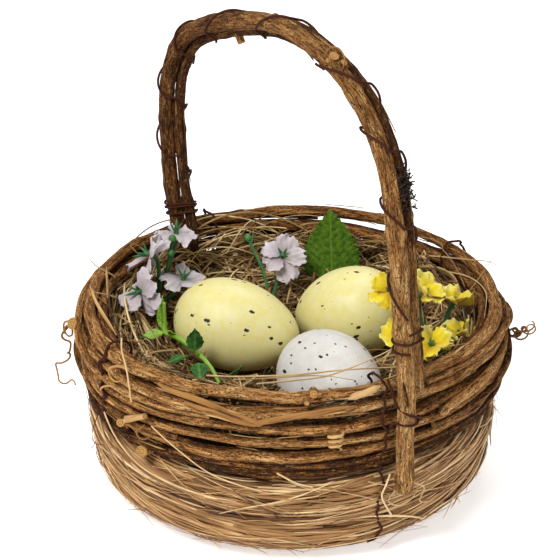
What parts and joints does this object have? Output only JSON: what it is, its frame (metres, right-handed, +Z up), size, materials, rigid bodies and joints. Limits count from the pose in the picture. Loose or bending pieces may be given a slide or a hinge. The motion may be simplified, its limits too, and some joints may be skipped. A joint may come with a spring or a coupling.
{
  "type": "easter basket",
  "caption": "Round vine basket on a straw bowl with a tall arched vine handle, a hay nest, speckled eggs that lift out and small cloth flowers.",
  "frame": {"origin": "middle of the flat underside, where the basket stands", "axes": "+Z up; the handle spans along X, with its front foot, outside the hoops, at +X"},
  "size_m": [0.2141, 0.2084, 0.23],
  "materials": {
    "straw": "matte, dry straw strands",
    "hay": "matte, loose dry stalks",
    "vine_bark": "rough ridged bark, matte",
    "handle_bark": "rough ridged bark, matte",
    "dry_vine": "smooth dry vine, matte",
    "cut_wood": "bare cut wood, matte",
    "binding_wire": "paper-covered wire, matte",
    "egg_yellow": "painted, satin, with dark speckles",
    "egg_white": "painted, satin, with dark speckles",
    "white_petal": "soft woven cloth, matte",
    "yellow_petal": "soft woven cloth, matte",
    "green_stem": "moulded plastic, satin",
    "bright_stem": "moulded plastic, satin",
    "big_leaf": "pressed cloth, matte",
    "dark_leaf": "pressed cloth, matte"
  },
  "bodies": {
    "root": {"straw_bowl": "straw", "vine_hoop_1": "vine_bark", "vine_hoop_2": "vine_bark", "vine_hoop_3": "vine_bark", "vine_hoop_4": "vine_bark", "vine_hoop_5": "vine_bark", "vine_hoop_6": "vine_bark", "inner_vine_front": "vine_bark", "inner_vine_back": "vine_bark", "inner_vine_low": "vine_bark", "split_vine": "dry_vine", "side_twig": "cut_wood", "curled_twig": "dry_vine", "handle_stem_main": "handle_bark", "handle_stem_outer": "handle_bark", "handle_stem_inner": "handle_bark", "handle_spurs": "cut_wood", "handle_binding": "binding_wire", "front_lashing": "binding_wire", "back_lashing": "binding_wire", "tie_wire_front": "binding_wire", "tie_wire_left": "binding_wire", "tie_wire_right": "binding_wire", "tie_wire_back": "binding_wire", "left_tendril": "dry_vine", "right_tendril": "dry_vine", "hay_lining": "hay", "big_leaf": "big_leaf", "white_petals_1": "white_petal", "white_petals_2": "white_petal", "white_petals_3": "white_petal", "white_petals_4": "white_petal", "white_petals_5": "white_petal", "white_sprig": "green_stem", "centre_sprig": "green_stem", "yellow_petals_1": "yellow_petal", "yellow_petals_2": "yellow_petal", "yellow_petals_3": "yellow_petal", "yellow_petals_4": "yellow_petal", "yellow_petals_5": "yellow_petal", "yellow_petals_6": "yellow_petal", "yellow_sprig": "green_stem", "green_sprig": "bright_stem", "dark_leaf_1": "dark_leaf", "dark_leaf_2": "dark_leaf", "dark_leaf_3": "dark_leaf", "dark_leaf_4": "dark_leaf"},
    "left_egg": {"egg_left": "egg_yellow"},
    "right_egg": {"egg_right": "egg_yellow"},
    "white_egg": {"egg_white": "egg_white"}
  },
  "joints": [
    {"name": "left_egg_lift", "type": "slide", "parent": "root", "child": "left_egg", "axis": [0, 0, 1], "range_m": [0, 0.1]},
    {"name": "right_egg_lift", "type": "slide", "parent": "root", "child": "right_egg", "axis": [0, 0, 1], "range_m": [0, 0.1]},
    {"name": "white_egg_lift", "type": "slide", "parent": "root", "child": "white_egg", "axis": [0, 0, 1], "range_m": [0, 0.1]}
  ]
}
